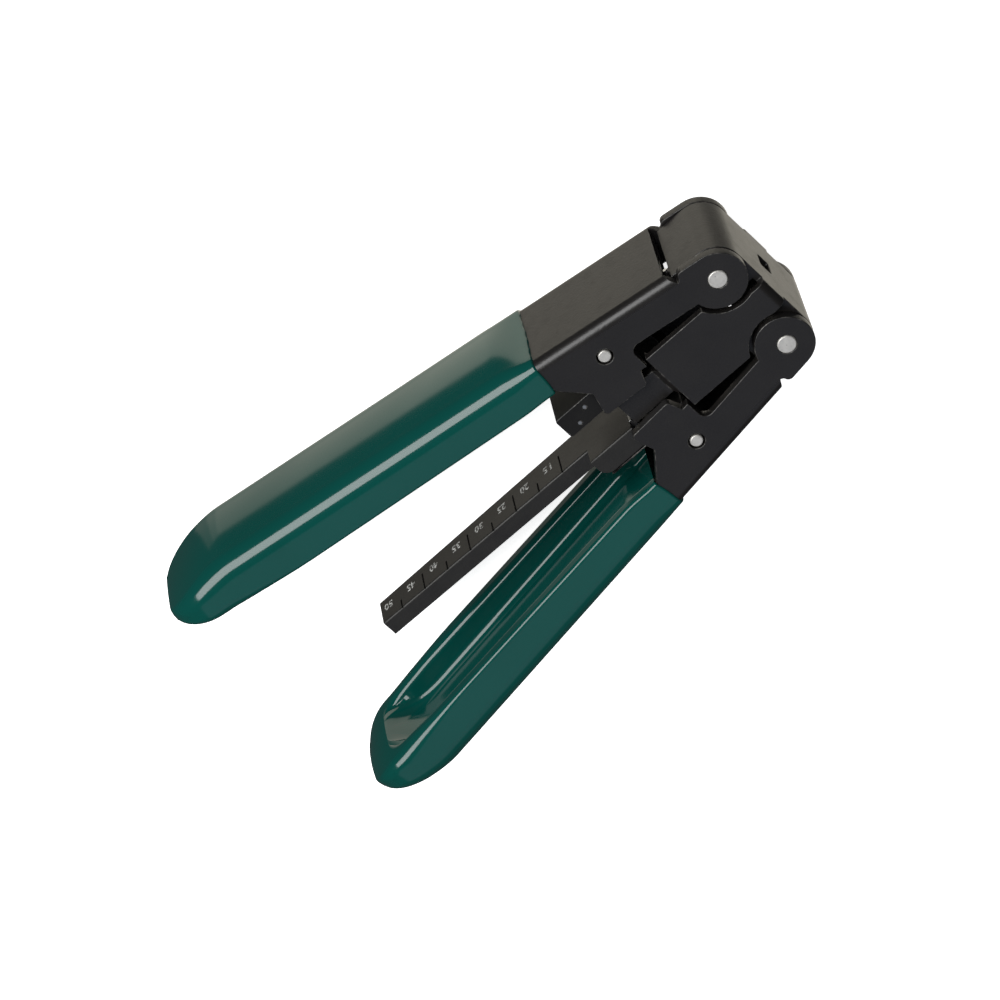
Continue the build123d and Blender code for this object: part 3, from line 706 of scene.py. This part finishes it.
# Springs
def wire_tree():
    """Geometry nodes that make a path into round wire with closed ends and a finish."""
    tree = bpy.data.node_groups.new("round_wire", "GeometryNodeTree")
    tree.interface.new_socket("Path", in_out="INPUT", socket_type="NodeSocketGeometry")
    tree.interface.new_socket("Radius", in_out="INPUT", socket_type="NodeSocketFloat")
    tree.interface.new_socket("Sides", in_out="INPUT", socket_type="NodeSocketInt")
    tree.interface.new_socket("Finish", in_out="INPUT", socket_type="NodeSocketMaterial")
    tree.interface.new_socket("Wire", in_out="OUTPUT", socket_type="NodeSocketGeometry")
    group_in = tree.nodes.new("NodeGroupInput")
    group_out = tree.nodes.new("NodeGroupOutput")
    circle = tree.nodes.new("GeometryNodeCurvePrimitiveCircle")
    sweep = tree.nodes.new("GeometryNodeCurveToMesh")
    sweep.inputs["Fill Caps"].default_value = True
    smooth = tree.nodes.new("GeometryNodeSetShadeSmooth")
    realize = tree.nodes.new("GeometryNodeRealizeInstances")
    paint = tree.nodes.new("GeometryNodeSetMaterial")
    link = tree.links.new
    link(group_in.outputs["Path"], sweep.inputs["Curve"])
    link(group_in.outputs["Radius"], circle.inputs["Radius"])
    link(group_in.outputs["Sides"], circle.inputs["Resolution"])
    link(circle.outputs["Curve"], sweep.inputs["Profile Curve"])
    link(sweep.outputs["Mesh"], smooth.inputs[0])
    link(smooth.outputs[0], realize.inputs[0])
    link(realize.outputs[0], paint.inputs["Geometry"])
    link(group_in.outputs["Finish"], paint.inputs["Material"])
    link(paint.outputs["Geometry"], group_out.inputs["Wire"])
    return tree


def wire_mesh(name, points, tree, finish):
    """A path of points made into wire by the tree, as a plain mesh."""
    curve = bpy.data.curves.new(name + "_path", "CURVE")
    curve.dimensions = "3D"
    spline = curve.splines.new("POLY")
    spline.points.add(len(points) - 1)
    for point, place in zip(spline.points, points):
        point.co = (*place, 1)
    holder = bpy.data.objects.new(name + "_path", curve)
    bpy.context.scene.collection.objects.link(holder)
    modifier = holder.modifiers.new("wire", "NODES")
    modifier.node_group = tree
    values = {"Radius": wire_radius, "Sides": wire_sides, "Finish": finish}
    for socket in tree.interface.items_tree:
        if socket.name in values:
            modifier[socket.identifier] = values[socket.name]
    return plain_mesh(holder, name)


def spring_path(side):
    """Front leg, coil round the pivot and the hook that bears on the web's front edge."""
    place = at_handle(side)
    low = -spring_height / 2
    turned = 2 * pi * spring_turns
    steps = int(spring_turns * steps_per_turn)
    path = [(spring_radius, -spring_front_leg * (1 - step / 6), low) for step in range(6)]
    for step in range(steps + 1):
        share = step / steps
        path.append((spring_radius * cos(turned * share), spring_radius * sin(turned * share),
                     low + spring_height * share))
    end = Vector(path[-1])
    hook_y = end.y - (spring_hook_x - end.x) / tan(turned)
    corner = Vector((spring_hook_x, hook_y, -low))
    tip = Vector((spring_hook_x, spring_tip, -low))
    inward = (end - corner).normalized()
    outward = (tip - corner).normalized()
    reach = min(spring_bend / tan(inward.angle(outward) / 2), 0.45 * (tip - corner).length)
    first = corner + inward * reach
    last = corner + outward * reach
    path.append(end.lerp(first, 0.5))
    for share in (step / 8 for step in range(9)):
        path.append(first.lerp(corner, share).lerp(corner.lerp(last, share), share))
    path += [last.lerp(tip, 0.5), tip]
    return [place(-x, y, z) for x, y, z in path]


# Ruler
def tick_x(reading):
    """Place of a reading's tick along the scale."""
    return pivot.x - blade_line - reading * MM


def in_tick(point):
    """True inside one of the scale's grooves."""
    if not 0.1 * tick_depth < ruler_top - point.y < 1.2 * tick_depth:
        return False
    return any(abs(point.x - tick_x(reading)) < tick_half_width for reading in readings)


def number_mesh(reading, finish):
    """A reading of the scale as thin paint, upright with Z up as seen from the upper handle."""
    data = bpy.data.curves.new(f"number_{reading}", "FONT")
    data.body = str(reading)
    data.resolution_u = 3
    data.offset = number_boldness
    holder = bpy.data.objects.new(f"number_{reading}", data)
    bpy.context.scene.collection.objects.link(holder)
    mesh = plain_mesh(holder, f"number_{reading}")
    low = Vector([min(vertex.co[axis] for vertex in mesh.vertices) for axis in range(2)])
    high = Vector([max(vertex.co[axis] for vertex in mesh.vertices) for axis in range(2)])
    work = bmesh.new()
    work.from_mesh(mesh)
    bmesh.ops.remove_doubles(work, verts=work.verts, dist=number_merge)
    raised = bmesh.ops.extrude_face_region(work, geom=work.faces[:])
    top = {part for part in raised["geom"] if isinstance(part, bmesh.types.BMVert)}
    for vertex in work.verts:
        right = (vertex.co.x - low.x) / (high.x - low.x) - 0.5
        up = (vertex.co.y - low.y) / (high.y - low.y) - 0.5
        height = ink_depth if vertex in top else -ink_root
        vertex.co = Vector((tick_x(reading) - number_behind_tick - right * number_width,
                            ruler_top + height, pivot.z - number_shift + up * number_height))
    bmesh.ops.recalc_face_normals(work, faces=work.faces)
    mesh.materials.clear()
    mesh.materials.append(finish)
    work.to_mesh(mesh)
    work.free()
    return mesh


finishes = {
    "black_steel": black_steel(),
    "black_casting": black_casting(),
    "dipped_grip": dipped_green(),
    "bright_pin": bright_steel("bright_pin", (0.5, 0.5, 0.49), 0.34),
    "sleeve_steel": bright_steel("sleeve_steel", (0.4, 0.4, 0.39), 0.35),
    "spring_steel": bright_steel("spring_steel", (0.72, 0.72, 0.72), 0.2),
    "blade_steel": bright_steel("blade_steel", (0.6, 0.61, 0.62), 0.25),
    "screw_steel": worn_steel("screw_steel", 0.3),
    "ruler_black": ruler_black(),
}
edge_wear = worn_steel("worn_steel", 0.14)
ink = white_ink()
pin_centres = {
    "upper_pivot_pin": pivot,
    "lower_pivot_pin": Vector((pivot.x, -pivot.y, pivot.z)),
    "upper_jaw_pin": Vector((pivot.x - jaw_pin_back, jaw_pin_out, pivot.z)),
    "lower_jaw_pin": Vector((pivot.x - jaw_pin_back, -jaw_pin_out, pivot.z)),
}

for name, node in frame["nodes"].items():
    node.data.materials.clear()
    if name in pin_centres:
        node.data.materials.append(turned_steel("turned_" + name, pin_centres[name]))
    else:
        node.data.materials.append(finishes[slot_of_node(name)])

for name in ("head_bracket", "upper_jaw", "lower_jaw"):
    rounded_piece(name, steel_edge, finishes[slot_of_node(name)], edge_wear)
# the ruler's tick grooves are painted near black, as painted shade
rounded_piece("ruler", scale_edge, finishes["ruler_black"], worn_steel("worn_scale_edge", 0.4),
              groove=groove_black())
for name in ("upper_blade", "lower_blade"):
    rounded_piece(name, blade_edge, finishes["blade_steel"], finishes["blade_steel"])

for name, side in (("upper", 1), ("lower", -1)):
    under_coat = at_handle(side)(grip_start + 2 * coat, 0, 0)
    rounded_piece(name + "_arm", steel_edge, finishes["black_steel"], edge_wear,
                  cut=(under_coat, towards_tail(side)))
    mesh = grip(side, name + "_dipped_grip", finishes["dipped_grip"])
    new_piece(name + "_dipped_grip", mesh, name + "_handle", "dipped_grip", name + "_grip")

wire = wire_tree()
for name, side in (("upper", 1), ("lower", -1)):
    mesh = wire_mesh(name + "_spring_wire", spring_path(side), wire, finishes["spring_steel"])
    new_piece(name + "_spring_wire", mesh, name + "_handle", "spring_steel", name + "_torsion_spring")

for reading in readings:
    new_piece(f"number_{reading}", number_mesh(reading, ink), "lower_carrier", "ruler_black")

studio()
place_camera()
